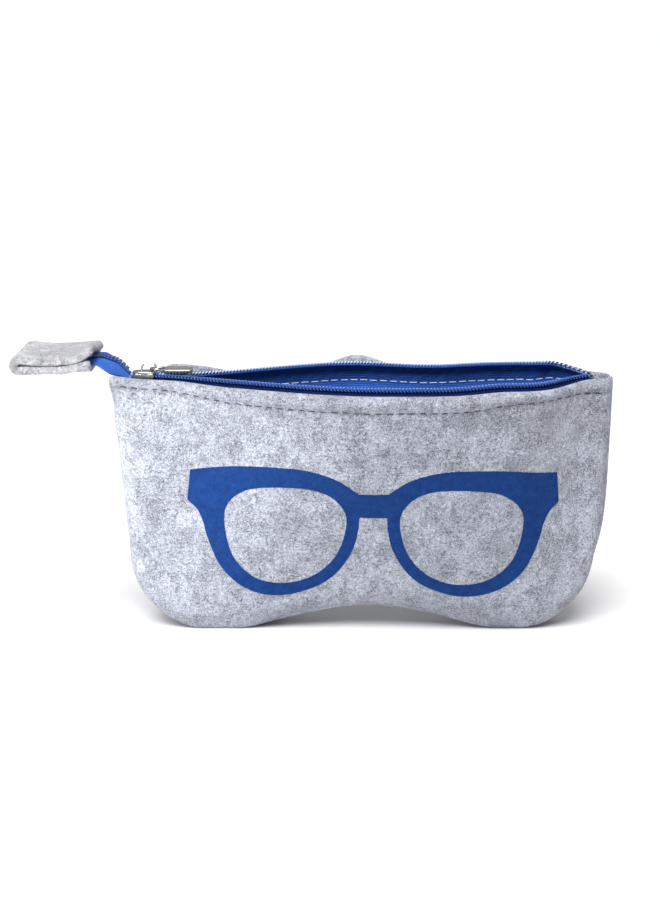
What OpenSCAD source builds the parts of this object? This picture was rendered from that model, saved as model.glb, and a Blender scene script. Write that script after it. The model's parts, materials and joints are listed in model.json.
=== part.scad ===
// Felt spectacles pouch with a coil zip. It is turned and unlined, stands on two lobes, and its
// mouth gapes. X runs along the zip, Y from the front panel to the back one, and Z is up.

/* [Outline] */
// Width of the mouth from corner to corner
mouth_w = 195; // [185:1:205]
// Height of the straight line that the closed zip makes
zip_z = 100.6; // [96:0.2:106]
// Height at which the rounded bottom corners meet the sides
corner_h = 29.5; // [24:0.5:34]
// How far the left side leans in between the mouth and the corner
left_lean = 6.7; // [4:0.1:10]
// How far the right side leans in between the mouth and the corner
right_lean = 4.7; // [3:0.1:8]
// X where the left lobe turns up into its corner
left_lobe_x = -60; // [-64:0.5:-54]
// X where the right lobe turns up into its corner
right_lobe_x = 61.5; // [58:0.5:66]
// Height of the arch between the lobes
arch_h = 8; // [5:0.1:12]
// Half of the arch's width
arch_half = 57; // [50:1:58]
// X of the arch's middle
arch_x = 3.7; // [0:0.1:8]

/* [Felt] */
// Thickness of the felt
felt_t = 2.5; // [2:0.1:3]
// Radius of the rolled hem along the mouth
hem_r = 2.25; // [1.8:0.05:2.6]
// Depth of felt folded in behind the hem
hem_depth = 9; // [7:0.5:11]
// Half of the pouch's thickness low down
body_half = 9; // [7:0.5:11]
// Half of the width of the flat that each lobe stands on
foot_half = 6; // [5:0.5:7]
// Width of the seam allowance turned to the inside
allowance = 5; // [4:0.5:6]

/* [Mouth] */
// How far each lip stands out from the middle where the mouth gapes most
gape = 27; // [15:1:28]
// How far the front lip sags below the closed zip there
front_sag = 1; // [0:0.1:2]
// How far the back lip rises above the closed zip there
back_rise = 1.5; // [0:0.1:2.5]

/* [Zip] */
// Width of the sloping band from the coil's tips to where the tape turns down
web = 4.8; // [4.4:0.1:5]
// Width of one coil
coil_w = 2.3; // [2:0.1:2.6]
// Thickness of one coil
coil_t = 1.5; // [1.3:0.1:1.6]
// Thickness of the woven tape
tape_t = 0.5; // [0.4:0.05:0.6]
// Depth of the tape below its turn
tape_drop = 8; // [6:0.5:9]
// X of the slider's middle with the zip open
slider_x = -83; // [-84:0.5:-82]

/* [Slider and puller] */
// Length of the slider
slider_l = 9.6; // [9:0.1:10]
// Width of the slider at its open end
slider_w = 8.2; // [8:0.1:8.6]
// Length of the puller from its pivot
puller_l = 16.5; // [12:0.5:22]
// Width of the puller
puller_w = 5; // [4.6:0.1:6]
// Thickness of the puller
puller_t = 1.3; // [1.1:0.1:1.4]

/* [End tab] */
// Depth of the felt tab from front to back
tab_w = 26; // [24:1:30]
// Thickness of the tab's felt
tab_t = 3; // [2.6:0.1:3.2]
// X of the tab's cut ends
tab_x = -102; // [-104:0.5:-101]
// Length of the folded tab
tab_l = 34; // [28:1:40]
// Height of the zip's end inside the tab
tab_z = 107.2; // [105:0.2:109]

/* [Print] */
// X of the middle of the printed spectacles
print_x = 3.5; // [0:0.5:8]
// Height of the lens centres
lens_z = 43.5; // [42:0.5:45]
// Distance from the middle to each lens centre
lens_x = 33.5; // [32:0.5:35]

/* [Hidden] */
felt_grey = [0.8, 0.81, 0.83];
zip_blue = [0.07, 0.25, 0.68];
metal = [0.78, 0.77, 0.74];
seam_y = 0.15;                 // each panel stops this far from the seam's plane
edge_y = 0.75;                 // half thickness of the sewn side edge
gap = 0.4;                     // air between the hem and the tape
flatten = 0.15;                // shaved off each lobe, so that it has a flat to stand on
tip_gap = 0.1;                 // from the closed zip's middle to a coil's tips
coil_off = coil_t / 2 + tape_t / 2 + 0.05;
base_left = -mouth_w / 2 + left_lean;
base_right = mouth_w / 2 - right_lean;
zip_from = -88.5;              // the stretch of zip inside the pouch
zip_to = 90;
tab_end = tab_x - tab_l;
pouch_x = -(tab_end + mouth_w / 2) / 2;    // puts the whole part's middle on X = 0

// Each lip is [side, where it starts to open, fully open from, to, closed again, sag, lean in between]
FRONT = [-1, -89, 8, 54, 90, front_sag, 66];
BACK = [1, -85, 2, 70, 97, -back_rise, 44];

function clamp(t) = min(max(t, 0), 1);
function mix(a, b, t) = a + (b - a) * t;
function smooth(t) = let (c = clamp(t)) c * c * (3 - 2 * c);
function round_in(t) = let (c = 1 - clamp(t)) sqrt(1 - c * c);

// ---- the pouch's shape ----
function up_side(z) = clamp((z - corner_h) / (zip_z - corner_h));
function left_edge(z) = -mouth_w / 2 + left_lean * pow(1 - up_side(z), 0.75);
function right_edge(z) = mouth_w / 2 - right_lean * pow(1 - up_side(z), 3);
function corner(t) = corner_h * (1 - sqrt(1 - pow(clamp(t), 2)));
function arch(x) = arch_h * (0.5 + 0.5 * cos(180 * clamp(abs(x - arch_x) / arch_half)));
function bottom_z(x) = max(0, arch(x) + corner((left_lobe_x - x) / (left_lobe_x - base_left))
    + corner((x - right_lobe_x) / (base_right - right_lobe_x)) - flatten);
function foot(x) = smooth((30 - min(abs(x - left_lobe_x - 4), abs(x - right_lobe_x + 2))) / 20);

// share of the gape that a lip has at x
function open_at(lip, x) = smooth((x - lip[1]) / (lip[2] - lip[1])) * smooth((lip[4] - x) / (lip[4] - lip[3]));
// lean of the zip's band from upright: nearly flat at both ends and steeper along the lips
function lean(lip, x) = mix(mix(84, lip[6], smooth((x + 74) / 24)), 88, smooth((x - 70) / 22));
function knee_y(lip, x) = tip_gap + web * sin(lean(lip, x)) - coil_off * cos(lean(lip, x));
function knee_z(lip, x) = zip_z - web * cos(lean(lip, x)) - coil_off * sin(lean(lip, x));
function hem_z(lip, x) = knee_z(lip, x) + 1.3 - lip[5] * open_at(lip, x);
function hem_out(lip, x) = knee_y(lip, x) + tape_t / 2 + gap + 2 * hem_r;

// the corner where the zip comes out stays open at the top
function left_pinch(x, z) = mix(round_in((x - left_edge(z)) / 7), 1, smooth((z - zip_z + 14) / 9));
function pinch(x, z) = left_pinch(x, z) * round_in((right_edge(z) - x) / 7);

// distance of a panel's outer face from the middle plane
function out_y(lip, x, z) =
    let (low = bottom_z(x), up = clamp((z - low) / (hem_z(lip, x) - low)))
    let (base = mix(edge_y, foot_half, foot(x)), body = mix(body_half, hem_out(lip, x), up))
    let (closed = mix(base, body, round_in((z - low) / 10)))
    edge_y + pinch(x, z) * (closed - edge_y + gape * open_at(lip, x) * (1 - pow(1 - up, 1.3)));
function in_allowance(x, z) = right_edge(z) - x < allowance || (x - left_edge(z) < allowance && z < zip_z - 14);
function in_y(lip, x, z, t) = in_allowance(x, z) ? seam_y : max(seam_y, out_y(lip, x, z) - t);

// ---- one panel: a closed section at each station along the pouch, joined by triangles ----
OUT_ROWS = [0, 0.01, 0.03, 0.06, 0.1, 0.17, 0.27, 0.41, 0.57, 0.78, 1];
IN_ROWS = [1, 0.8, 0.62, 0.46, 0.32, 0.2, 0.1, 0.004];
stations = 58;
function station(i) = 0.5 - 0.5 * cos(180 * i / stations);
function x_at(u, z) = mix(left_edge(z), right_edge(z), u);
function at(lip, u, z, y) = [x_at(u, z), lip[0] * y, z];
function section(lip, u) =
    let (low = bottom_z(x_at(u, 0)), top = hem_z(lip, x_at(u, zip_z)), r_top = top - hem_r)
    let (y_top = out_y(lip, x_at(u, r_top), r_top), r = min(hem_r, (y_top - seam_y) / 2))
    let (fold = top - hem_depth, floor_z = low + allowance)
    concat(
        [at(lip, u, low, seam_y)],
        [for (v = OUT_ROWS) let (z = mix(low, r_top, v)) at(lip, u, z, out_y(lip, x_at(u, z), z))],
        [for (a = [30 : 30 : 150]) at(lip, u, r_top + r * sin(a), y_top - r + r * cos(a))],
        [for (z = [r_top, top - 5, fold]) at(lip, u, z, in_y(lip, x_at(u, z), z, 2 * r))],
        [for (v = IN_ROWS) let (z = mix(floor_z, fold - 0.4, v)) at(lip, u, z, in_y(lip, x_at(u, z), z, felt_t))],
        [at(lip, u, floor_z, seam_y)]);

// triangles of a tube through equal closed sections, with ends made of strips across each section
function tube_faces(n, m) = concat(
    [for (i = [0 : n - 2], j = [0 : m - 1]) let (a = i * m + j, b = i * m + (j + 1) % m) [a, b, b + m]],
    [for (i = [0 : n - 2], j = [0 : m - 1]) let (a = i * m + j, b = i * m + (j + 1) % m) [a, b + m, a + m]],
    [for (j = [0 : floor(m / 2) - 1]) [j, m - 1 - j, j + 1]],
    [for (j = [0 : floor((m - 1) / 2) - 1]) [m - 1 - j, m - 2 - j, j + 1]],
    [for (j = [0 : floor(m / 2) - 1]) let (k = (n - 1) * m) [k + j, k + j + 1, k + m - 1 - j]],
    [for (j = [0 : floor((m - 1) / 2) - 1]) let (k = (n - 1) * m) [k + m - 1 - j, k + j + 1, k + m - 2 - j]]);
function flipped(faces) = [for (f = faces) [f[2], f[1], f[0]]];
function proper(faces) = [for (f = faces) if (f[0] != f[1] && f[1] != f[2] && f[0] != f[2]) f];

module tube(sections, flip) {
    faces = proper(tube_faces(len(sections), len(sections[0])));
    polyhedron([for (s = sections, p = s) p], flip ? flipped(faces) : faces);
}

module in_place() {
    translate([pouch_x, 0, 0]) children();
}

module panel(lip) {
    color(felt_grey) in_place() tube([for (i = [0 : stations]) section(lip, station(i))], lip[0] > 0);
}

module front_panel() {
    panel(FRONT);
}

module back_panel() {
    panel(BACK);
}

// ---- threads ----
module stick(a, b, r) {
    d = b - a;
    translate(a) rotate([0, acos(d.z / norm(d)), atan2(d.y, d.x)]) cylinder(h = norm(d), r = r, $fn = 16);
}

// stitches that join the two panels inside the turned seam
module seam_thread() {
    inset = 2.6;
    color([0.85, 0.85, 0.86]) in_place() {
        for (z = [corner_h + 4 : 5 : zip_z - 16]) {
            stick([left_edge(z) + inset, -2, z], [left_edge(z) + inset, 2, z], 0.3);
            stick([right_edge(z) - inset, -2, z], [right_edge(z) - inset, 2, z], 0.3);
        }
        for (x = [left_lobe_x - 14 : 5 : right_lobe_x + 14])
            stick([x, -2, bottom_z(x) + inset], [x, 2, bottom_z(x) + inset], 0.3);
    }
}

stitch_pitch = 4;
stitch_l = 2.6;
stitch_r = 0.3;
function stitch_z(lip, x) = hem_z(lip, x) - 3.4 - 2.8 * smooth((x + 85) / 50);
function outer_stitch(lip, x) = [x, lip[0] * (out_y(lip, x, stitch_z(lip, x)) + stitch_r + 0.16), stitch_z(lip, x)];
function inner_stitch(lip, x) =
    let (y = in_y(lip, x, stitch_z(lip, x), 2 * hem_r) - gap - tape_t - gap - stitch_r)
    [x, lip[0] * y, stitch_z(lip, x)];

module topstitch(lip) {
    color([0.45, 0.46, 0.5]) in_place() for (x = [-mouth_w / 2 + 6 : stitch_pitch : mouth_w / 2 - 9]) {
        stick(outer_stitch(lip, x), outer_stitch(lip, x + stitch_l), stitch_r);
        if (x > zip_from && x < zip_to - 4)
            stick(inner_stitch(lip, x), inner_stitch(lip, x + stitch_l), stitch_r);
    }
}

module front_topstitch() {
    topstitch(FRONT);
}

module back_topstitch() {
    topstitch(BACK);
}

// ---- the printed spectacles, a thin skin on the front panel ----
module lens(grow) {
    hull() {
        translate([-13.5, 6.5]) circle(r = 10 + grow, $fn = 48);
        translate([14, 7.5]) circle(r = 9.5 + grow, $fn = 48);
        translate([-0.5, 3]) circle(r = 15 + grow, $fn = 48);
        translate([-3.5, -3]) circle(r = 18.5 + grow, $fn = 48);
        translate([2.5, -4.7]) circle(r = 18.5 + grow, $fn = 48);
    }
}

module half_spectacles() {
    difference() {
        union() {
            translate([lens_x, 0]) lens(5);
            translate([lens_x + 8.5, -3.5]) circle(r = 22, $fn = 48);
            hull() {
                translate([lens_x - 13.5, 10.3]) circle(r = 13, $fn = 48);
                translate([lens_x - 0.5, 9.5]) circle(r = 16, $fn = 48);
                translate([lens_x + 35.5, 22.3]) circle(r = 0.8, $fn = 16);
                translate([lens_x + 37.1, 9.2]) circle(r = 0.7, $fn = 16);
                translate([lens_x + 30, 1.2]) circle(r = 0.8, $fn = 16);
            }
        }
        translate([lens_x, 0]) lens(0);
    }
}

module spectacles() {
    half_spectacles();
    mirror([1, 0]) half_spectacles();
    translate([-8, 6.2]) square([16, 9.8]);
}

// a thin sheet just outside the front panel, wide enough for the print
function sheet_section(x, inner, outer) = concat(
    [for (z = [14 : 4 : 74]) [x, -(out_y(FRONT, x, z) + inner), z]],
    [for (z = [74 : -4 : 14]) [x, -(out_y(FRONT, x, z) + outer), z]]);

module front_print() {
    color(zip_blue) in_place() intersection() {
        tube([for (x = [print_x - 72 : 4.5 : print_x + 72]) sheet_section(x, 0.1, 0.4)], false);
        translate([print_x, 0, lens_z]) rotate([90, 0, 0]) linear_extrude(height = 60) spectacles();
    }
}

// ---- the zip along the lips ----
zip_stations = 66;
function zip_x(i) = mix(zip_from, zip_to, i / zip_stations);
// a point at distance d down the band from the coil's tips and n out from the coil's middle line
function on_band(lip, x, d, n) =
    let (a = lean(lip, x), w = open_at(lip, x))
    [x, lip[0] * (tip_gap + d * sin(a) + n * cos(a) + gape * w), zip_z - d * cos(a) + n * sin(a) - lip[5] * w];
function on_drop(lip, x, below, n) =
    let (z = knee_z(lip, x) - lip[5] * open_at(lip, x) - below)
    [x, lip[0] * (out_y(lip, x, z) - 2 * hem_r - gap - tape_t / 2 + n), z];
function tape_section(lip, x) =
    let (h = tape_t / 2, web_in = web - 0.5)
    concat(
        [for (d = [2, web_in]) on_band(lip, x, d, h - coil_off)],
        [for (b = [1, 4, tape_drop]) on_drop(lip, x, b, h)],
        [for (b = [tape_drop, 4, 1]) on_drop(lip, x, b, -h)],
        [for (d = [web_in, 2]) on_band(lip, x, d, -h - coil_off)]);

module tape(lip) {
    color(zip_blue) in_place()
        tube([for (i = [0 : zip_stations]) tape_section(lip, zip_x(i))], lip[0] < 0);
}

// an oval ring or disc around the coil's middle line
function coil_ring(lip, x, w, t) =
    [for (a = [0 : 45 : 315]) on_band(lip, x, coil_w / 2 + w / 2 * cos(a), t / 2 * sin(a))];
function ring_walls(n, m, k) =
    [for (i = [0 : n - 2], j = [0 : m - 1], h = [0, 1])
        let (a = k + i * m + j, b = k + i * m + (j + 1) % m) h == 0 ? [a, b, b + m] : [a, b + m, a + m]];
function ring_ends(n, m) =
    let (k = n * m, e = (n - 1) * m)
    [for (j = [0 : m - 1], h = [0 : 3]) let (q = (j + 1) % m)
        h == 0 ? [j, k + j, q] : h == 1 ? [q, k + j, k + q]
        : h == 2 ? [e + j, e + q, k + e + j] : [e + q, k + e + q, k + e + j]];

module coil(lip) {
    xs = [for (i = [0 : zip_stations]) zip_x(i)];
    n = len(xs);
    outer = [for (x = xs, p = coil_ring(lip, x, coil_w, coil_t)) p];
    inner = [for (x = xs, p = coil_ring(lip, x, coil_w - 0.7, coil_t - 0.7)) p];
    faces = concat(ring_walls(n, 8, 0), flipped(ring_walls(n, 8, n * 8)), ring_ends(n, 8));
    color(zip_blue) in_place() polyhedron(concat(outer, inner), lip[0] < 0 ? faces : flipped(faces));
}

module coil_cord(lip) {
    color(zip_blue) in_place()
        tube([for (i = [0 : zip_stations]) coil_ring(lip, zip_x(i), coil_w - 1.1, coil_t - 1)], lip[0] > 0);
}

module front_tape() {
    tape(FRONT);
}

module front_coil() {
    coil(FRONT);
}

module front_coil_cord() {
    coil_cord(FRONT);
}

module back_tape() {
    tape(BACK);
}

module back_coil() {
    coil(BACK);
}

module back_coil_cord() {
    coil_cord(BACK);
}

// ---- slider and puller ----
plate_t = 1;
channel_top = 0.75;            // from the closed zip's line up to the top plate
flange_low = -0.95;            // the flanges stop here, above the tape
bottom_top = -3.15;            // upper face of the bottom plate
flange_t = 0.6;
slider_tail_w = slider_w - 1.4;

module slider_plan(wide, narrow) {
    hull() {
        translate([slider_l / 2 - 1, 0]) square([2, wide - 1.6], center = true);
        translate([slider_l / 2 - 2, 0]) square([1.6, wide], center = true);
        translate([-slider_l / 2 + 1, 0]) square([2, narrow - 1.2], center = true);
        translate([-slider_l / 2 + 1.6, 0]) square([1, narrow], center = true);
    }
}

module at_slider() {
    in_place() translate([slider_x, 0, zip_z]) children();
}

module slider_body() {
    color(metal) at_slider() {
        translate([0, 0, channel_top]) linear_extrude(height = plate_t) slider_plan(slider_w, slider_tail_w);
        for (side = [-1, 1]) translate([0, 0, flange_low])
            linear_extrude(height = channel_top - flange_low + 0.1)
                polygon([
                    [-slider_l / 2 + 0.6, side * (slider_tail_w / 2 - 0.2)],
                    [slider_l / 2 - 1, side * (slider_w / 2 - 0.15)],
                    [slider_l / 2 - 1, side * (slider_w / 2 - 0.15 - flange_t)],
                    [-slider_l / 2 + 0.6, side * (slider_tail_w / 2 - 0.2 - flange_t)]]);
        translate([0, 0, bottom_top - plate_t]) linear_extrude(height = plate_t) slider_plan(5.2, 4.4);
        // the post that parts the two coils
        translate([0, 0, bottom_top - 0.1]) linear_extrude(height = channel_top - bottom_top + 0.2)
            polygon([[slider_l / 2 - 2.2, 0.12], [slider_l / 2 - 0.2, 0.42], [slider_l / 2 - 0.2, -0.42],
                [slider_l / 2 - 2.2, -0.12]]);
    }
}

bridge_top = 4.4;
bridge_x = 1.6;                // the bridge stands a little towards the open end
bridge_w = 1.8;
deck = channel_top + plate_t;

module slider_bridge() {
    color(metal) at_slider() translate([bridge_x, bridge_w / 2, 0]) rotate([90, 0, 0])
        linear_extrude(height = bridge_w) difference() {
            hull() {
                translate([-3.3, deck + 0.08]) square([6.6, 0.4]);
                translate([-1.9, bridge_top - 1.2]) circle(r = 1.2, $fn = 32);
                translate([1.9, bridge_top - 1.2]) circle(r = 1.2, $fn = 32);
            }
            hull() {
                translate([-2.4, deck - 1]) square([4.8, 1]);
                translate([-1.4, bridge_top - 1.6]) circle(r = 0.75, $fn = 32);
                translate([1.4, bridge_top - 1.6]) circle(r = 0.75, $fn = 32);
            }
        }
}

pivot_r = 0.5;
pivot_dx = 2.6;                // the puller's bar lies against the bridge's open end
pivot_z = deck + pivot_r + 0.3;
eye_l = 5;

module pull_tab() {
    color(metal) at_slider() translate([pivot_dx, 0, pivot_z]) {
        rotate([90, 0, 0]) cylinder(h = puller_w, r = pivot_r, center = true, $fn = 32);
        for (side = [-1, 1]) translate([0, side * (puller_w / 2 - 0.6), 0])
            rotate([0, 90, 0]) cylinder(h = eye_l, r = pivot_r, $fn = 32);
        translate([0, 0, -pivot_r + 0.05]) linear_extrude(height = puller_t) difference() {
            hull() {
                translate([eye_l + 0.4, 0]) square([0.8, puller_w], center = true);
                translate([puller_l - 1.5, -puller_w / 2 + 1.5]) circle(r = 1.5, $fn = 32);
                translate([puller_l - 1.5, puller_w / 2 - 1.5]) circle(r = 1.5, $fn = 32);
            }
            hull() {
                translate([eye_l + 4, 0]) circle(r = 0.7, $fn = 32);
                translate([puller_l - 4, 0]) circle(r = 0.7, $fn = 32);
            }
        }
    }
}

// ---- the zip's end outside the pouch, and the felt tab folded over it ----
tail_from = -89;
tail_to = -126;
tail_coil_to = -106;
tail_stations = 24;
function tail_x(i, to) = mix(tail_from, to, i / tail_stations);
function tail_z(x) = mix(zip_z - 1.6, tab_z, smooth((-87 - x) / 15));
function tail_half(x) = mix(3.7, 12.3, smooth((-89 - x) / 9));
function tail_droop(x) = 0.9 * (1 - smooth((-88 - x) / 8));
function tail_section(side, x) =
    let (h = tape_t / 2, z = tail_z(x), w = tail_half(x), s = tail_droop(x))
    [[x, side * 1.6, z + h], [x, side * w, z + h - s], [x, side * w, z - h - s], [x, side * 1.6, z - h]];

module tail_tape(side) {
    color(zip_blue) in_place()
        tube([for (i = [0 : tail_stations]) tail_section(side, tail_x(i, tail_to))], side > 0);
}

module tail_tape_front() {
    tail_tape(-1);
}

module tail_tape_back() {
    tail_tape(1);
}

module tail_coil() {
    function ring(x) = [for (a = [0 : 45 : 315])
        [x, coil_w * cos(a), tail_z(x) + coil_off + 0.05 + coil_t / 2 * sin(a)]];
    color(zip_blue) in_place() tube([for (i = [0 : tail_stations]) ring(tail_x(i, tail_coil_to))], true);
}

// middle line of the folded felt, from the upper cut end round the fold to the lower cut end
fold_r = (tab_t + 1.3) / 2;
fold_x = tab_end + fold_r + tab_t / 2;
upper_z = tab_z + 0.15 + fold_r;
function lift(t) = 1.1 * (1 - t) + 2.2 * pow(1 - t, 9);
function tab_line() = concat(
    [for (t = [0 : 0.08 : 1]) let (x = mix(tab_x + 1, fold_x, t)) [x, upper_z + lift(t)]],
    [for (a = [100 : 20 : 260]) [fold_x + fold_r * cos(a), tab_z + 0.15 + fold_r * sin(a)]],
    [for (t = [0.02 : 0.14 : 1]) [mix(fold_x, tab_x, t), tab_z + 0.15 - fold_r]]);
function normal(p, i) =
    let (d = p[min(i + 1, len(p) - 1)] - p[max(i - 1, 0)]) [-d.y, d.x] / norm(d);

module end_tab() {
    line = tab_line();
    color(felt_grey) in_place() rotate([90, 0, 0]) linear_extrude(height = tab_w, center = true)
        polygon(concat(
            [for (i = [0 : len(line) - 1]) line[i] + normal(line, i) * tab_t / 2],
            [for (i = [len(line) - 1 : -1 : 0]) line[i] - normal(line, i) * tab_t / 2]));
}

// a row of stitches across the tab, on top and below
module end_tab_thread() {
    x = tab_x - 12;
    top = upper_z + lift((tab_x + 1 - x) / (tab_x + 1 - fold_x)) + tab_t / 2 + stitch_r + 0.08;
    low = tab_z + 0.15 - fold_r - tab_t / 2 - stitch_r - 0.06;
    color([0.45, 0.46, 0.5]) in_place() for (y = [-tab_w / 2 + 2 : stitch_pitch : tab_w / 2 - 4]) {
        stick([x, y, top], [x, y + stitch_l, top], stitch_r);
        stick([x, y, low], [x, y + stitch_l, low], stitch_r);
    }
}

front_panel();
back_panel();
seam_thread();
front_topstitch();
back_topstitch();
front_print();
front_tape();
front_coil();
front_coil_cord();
back_tape();
back_coil();
back_coil_cord();
slider_body();
slider_bridge();
pull_tab();
tail_tape_front();
tail_tape_back();
tail_coil();
end_tab();
end_tab_thread();
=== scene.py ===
"""Felt spectacles pouch with a coil zip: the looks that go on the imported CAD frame.

The shape's formulas are the CAD part's own, in millimetres and in the pouch's own coordinates, where
X = 0 is the middle of the mouth. build() turns them into metres in the frame.
"""

import json
import math
from collections import namedtuple

import bpy
import numpy as np
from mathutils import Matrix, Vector


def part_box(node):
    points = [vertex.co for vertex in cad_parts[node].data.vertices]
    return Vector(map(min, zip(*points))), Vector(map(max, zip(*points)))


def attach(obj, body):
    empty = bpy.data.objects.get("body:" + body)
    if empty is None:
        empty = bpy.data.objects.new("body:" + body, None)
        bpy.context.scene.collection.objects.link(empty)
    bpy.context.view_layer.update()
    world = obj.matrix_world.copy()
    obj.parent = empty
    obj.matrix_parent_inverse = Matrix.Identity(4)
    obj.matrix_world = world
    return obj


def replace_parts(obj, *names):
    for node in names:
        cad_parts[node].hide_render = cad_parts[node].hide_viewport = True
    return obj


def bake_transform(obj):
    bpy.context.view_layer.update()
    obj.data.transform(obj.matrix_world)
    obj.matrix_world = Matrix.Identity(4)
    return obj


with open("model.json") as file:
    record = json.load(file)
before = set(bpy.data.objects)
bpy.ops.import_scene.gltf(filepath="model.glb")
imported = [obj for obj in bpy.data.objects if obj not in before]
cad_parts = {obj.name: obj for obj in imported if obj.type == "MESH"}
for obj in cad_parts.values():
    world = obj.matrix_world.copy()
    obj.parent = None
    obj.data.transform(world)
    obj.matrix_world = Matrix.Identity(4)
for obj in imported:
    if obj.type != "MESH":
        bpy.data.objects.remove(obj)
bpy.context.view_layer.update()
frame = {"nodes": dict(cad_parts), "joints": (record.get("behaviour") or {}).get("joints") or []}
rng = np.random.default_rng(7)

# ---- sizes taken from the frame ----
joints = {j["name"]: j for j in frame["joints"]}


def box_mm(node):
    lo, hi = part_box(node)
    return np.array(lo) * 1000, np.array(hi) * 1000


panel_lo, panel_hi = box_mm("front_panel")
POUCH_X = (panel_lo[0] + panel_hi[0]) / 2
MOUTH_W = panel_hi[0] - panel_lo[0]
slider_lo, slider_hi = box_mm("slider_body")
SLIDER_X = (slider_lo[0] + slider_hi[0]) / 2 - POUCH_X
DECK = 1.75  # the slider's deck above the zip's line
ZIP_Z = slider_hi[2] - DECK
tab_lo, tab_hi = box_mm("end_tab")
TAB_END = tab_lo[0] - POUCH_X
TAB_W = tab_hi[1] - tab_lo[1]


def travel_of(name):
    j = joints[name]
    return np.array(j["axis"]) * j["range_m"][1] * 1000


FRONT_MOVE = travel_of("front_lip_close")
BACK_MOVE = travel_of("back_lip_close")
GAPE = FRONT_MOVE[1]

# ---- sizes as in the CAD source ----
CORNER_H, LEFT_LEAN, RIGHT_LEAN = 29.5, 6.7, 4.7
LEFT_LOBE, RIGHT_LOBE = -60.0, 61.5
ARCH_H, ARCH_HALF, ARCH_X = 8.0, 57.0, 3.7
FELT_T, HEM_R, HEM_DEPTH = 2.5, 2.25, 9.0
BODY_HALF, FOOT_HALF, ALLOWANCE, EDGE_Y, SEAM_Y = 9.0, 6.0, 5.0, 0.75, 0.15
WEB, COIL_W, COIL_T, TAPE_T, TAPE_DROP = 4.8, 2.3, 1.5, 0.5, 8.0
GAP, TIP_GAP, FLATTEN = 0.4, 0.1, 0.15
COIL_OFF = COIL_T / 2 + TAPE_T / 2 + 0.05
ZIP_FROM, ZIP_TO, PITCH = -88.5, 90.0, 1.27
STITCH_PITCH, STITCH_L = 4.0, 2.6
THREAD_TURN = 0.55  # how far along itself a thread turns once
TAB_X, TAB_T, TAB_Z = -102.0, 3.0, 107.2
TAB_ROLL = 0.105  # the tab lies tipped a little towards the front
PRINT_X, LENS_Z, LENS_X = 3.5, 43.5, 33.5
BASE_LEFT = -MOUTH_W / 2 + LEFT_LEAN
BASE_RIGHT = MOUTH_W / 2 - RIGHT_LEAN

# A lip opens from start to full, stays open to still and is closed again at end. sag is how far it sinks
# while open, in millimetres, and lean is its tape's angle from upright in the middle, in degrees.
Lip = namedtuple("Lip", "side start full still end sag lean")
FRONT = Lip(-1, -89, 8, 54, 90, FRONT_MOVE[2], 66)
BACK = Lip(1, -85, 2, 77, 93, BACK_MOVE[2], 44)


def clamp(t):
    return np.clip(t, 0, 1)


def smooth(t):
    t = clamp(t)
    return t * t * (3 - 2 * t)


def mix(a, b, t):
    return a + (b - a) * t


def round_in(t):
    c = 1 - clamp(t)
    return np.sqrt(1 - c * c)


def squarish(c, power):
    """A cosine or sine bent so that the curve drawn with it lies between an ellipse and a box."""
    return np.sign(c) * np.abs(c) ** power


def unit(v):
    return v / np.linalg.norm(v, axis=1, keepdims=True)


def circle(count):
    return np.linspace(0, 2 * np.pi, count, endpoint=False)


def bell(x, middle, width):
    return np.exp(-(((x - middle) / width) ** 2))


# ---- the pouch's shape ----
def up_side(z):
    """Share of the way up a side edge, from the bottom corner's top to the zip."""
    return clamp((z - CORNER_H) / (ZIP_Z - CORNER_H))


def left_edge(z):
    return -MOUTH_W / 2 + LEFT_LEAN * (1 - up_side(z)) ** 0.75 + 1.9 * bell(z, ZIP_Z - 5.5, 6)


def right_edge(z):
    return MOUTH_W / 2 - RIGHT_LEAN * (1 - up_side(z)) ** 3 + 1.1 * bell(z, 42, 20)


def corner(t, radius=CORNER_H):
    return radius * (1 - np.sqrt(1 - clamp(t) ** 2))


def bottom_z(x):
    arch = ARCH_H * (0.5 + 0.5 * np.cos(np.pi * clamp(np.abs(x - ARCH_X) / ARCH_HALF)))
    left = corner((LEFT_LOBE - x) / (LEFT_LOBE - BASE_LEFT))
    right = corner((x - RIGHT_LOBE) / (BASE_RIGHT - RIGHT_LOBE))
    return np.maximum(0, arch + left + right - FLATTEN)


def foot(x):
    """1 over the two lobes that the pouch stands on, and 0 away from them."""
    return smooth((30 - np.minimum(np.abs(x - LEFT_LOBE - 4), np.abs(x - RIGHT_LOBE + 2))) / 20)


def open_at(lip, x):
    """How far the lip is open at x, from 0 to 1; each lip droops inwards a little in one place."""
    wave = 0.15 * bell(x, 55, 14) if lip.side < 0 else 0.22 * bell(x, 28, 19)
    share = smooth((x - lip.start) / (lip.full - lip.start)) * smooth((lip.end - x) / (lip.end - lip.still))
    return share * (1 - wave)


def lift(lip, x):
    """Small rises of the mouth's edge that the CAD's plain lips leave out."""
    return 1.0 * bell(x, 54, 15) if lip.side < 0 else 0 * x


def lean(lip, x):
    """Angle of the coil's band from upright: nearly flat at both ends, where the lips meet."""
    degrees = mix(mix(84, lip.lean, smooth((x + 74) / 24)), 88, smooth((x - 70) / 22))
    return np.radians(degrees)


# The knee is where the tape turns down from the stiff band into the hem
def knee_y(lip, x):
    return TIP_GAP + WEB * np.sin(lean(lip, x)) - COIL_OFF * np.cos(lean(lip, x))


def knee_z(lip, x):
    return ZIP_Z - WEB * np.cos(lean(lip, x)) - COIL_OFF * np.sin(lean(lip, x)) + lift(lip, x)


def hem_z(lip, x):
    """Height of the hem's edge. The front one rises a little at the left corner."""
    corner_up = 1.3 * bell(x, -96, 8) if lip.side < 0 else 0
    return knee_z(lip, x) + 1.3 - lip.sag * open_at(lip, x) + corner_up


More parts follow.
